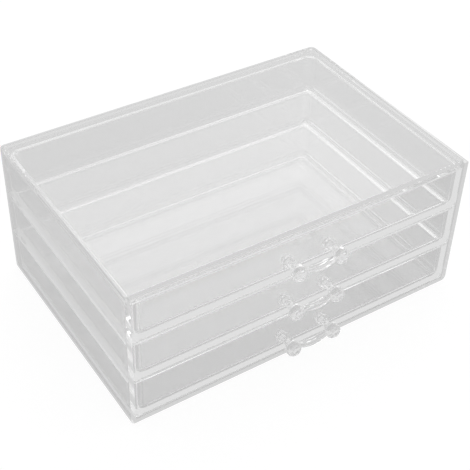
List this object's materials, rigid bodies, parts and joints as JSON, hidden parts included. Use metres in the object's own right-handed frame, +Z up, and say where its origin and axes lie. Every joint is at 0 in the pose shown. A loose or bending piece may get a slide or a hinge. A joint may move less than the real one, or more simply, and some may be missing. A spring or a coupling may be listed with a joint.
{
  "type": "jewellery box",
  "caption": "Clear moulded jewellery box with a stack of sliding drawers, each with a crystal-style bail pull.",
  "frame": {"origin": "middle of the flat underside of the case, on the surface it stands on", "axes": "+X to the right seen from the front, -Y to the front where the drawers open, +Z up"},
  "size_m": [0.236, 0.1755, 0.096],
  "materials": {
    "clear_case": "clear polished moulding",
    "clear_drawer": "clear polished moulding",
    "clear_pull": "clear polished faceted moulding"
  },
  "bodies": {
    "case": {"case_shell": "clear_case", "top_panel": "clear_case"},
    "top_drawer": {"drawer_top": "clear_drawer", "pull_top": "clear_pull", "pull_caps_top": "clear_pull"},
    "middle_drawer": {"drawer_middle": "clear_drawer", "pull_middle": "clear_pull", "pull_caps_middle": "clear_pull"},
    "bottom_drawer": {"drawer_bottom": "clear_drawer", "pull_bottom": "clear_pull", "pull_caps_bottom": "clear_pull"}
  },
  "joints": [
    {"name": "top_drawer_slide", "type": "slide", "parent": "case", "child": "top_drawer", "axis": [0, -1, 0], "range_m": [0, 0.115]},
    {"name": "middle_drawer_slide", "type": "slide", "parent": "case", "child": "middle_drawer", "axis": [0, -1, 0], "range_m": [0, 0.115]},
    {"name": "bottom_drawer_slide", "type": "slide", "parent": "case", "child": "bottom_drawer", "axis": [0, -1, 0], "range_m": [0, 0.115]}
  ]
}
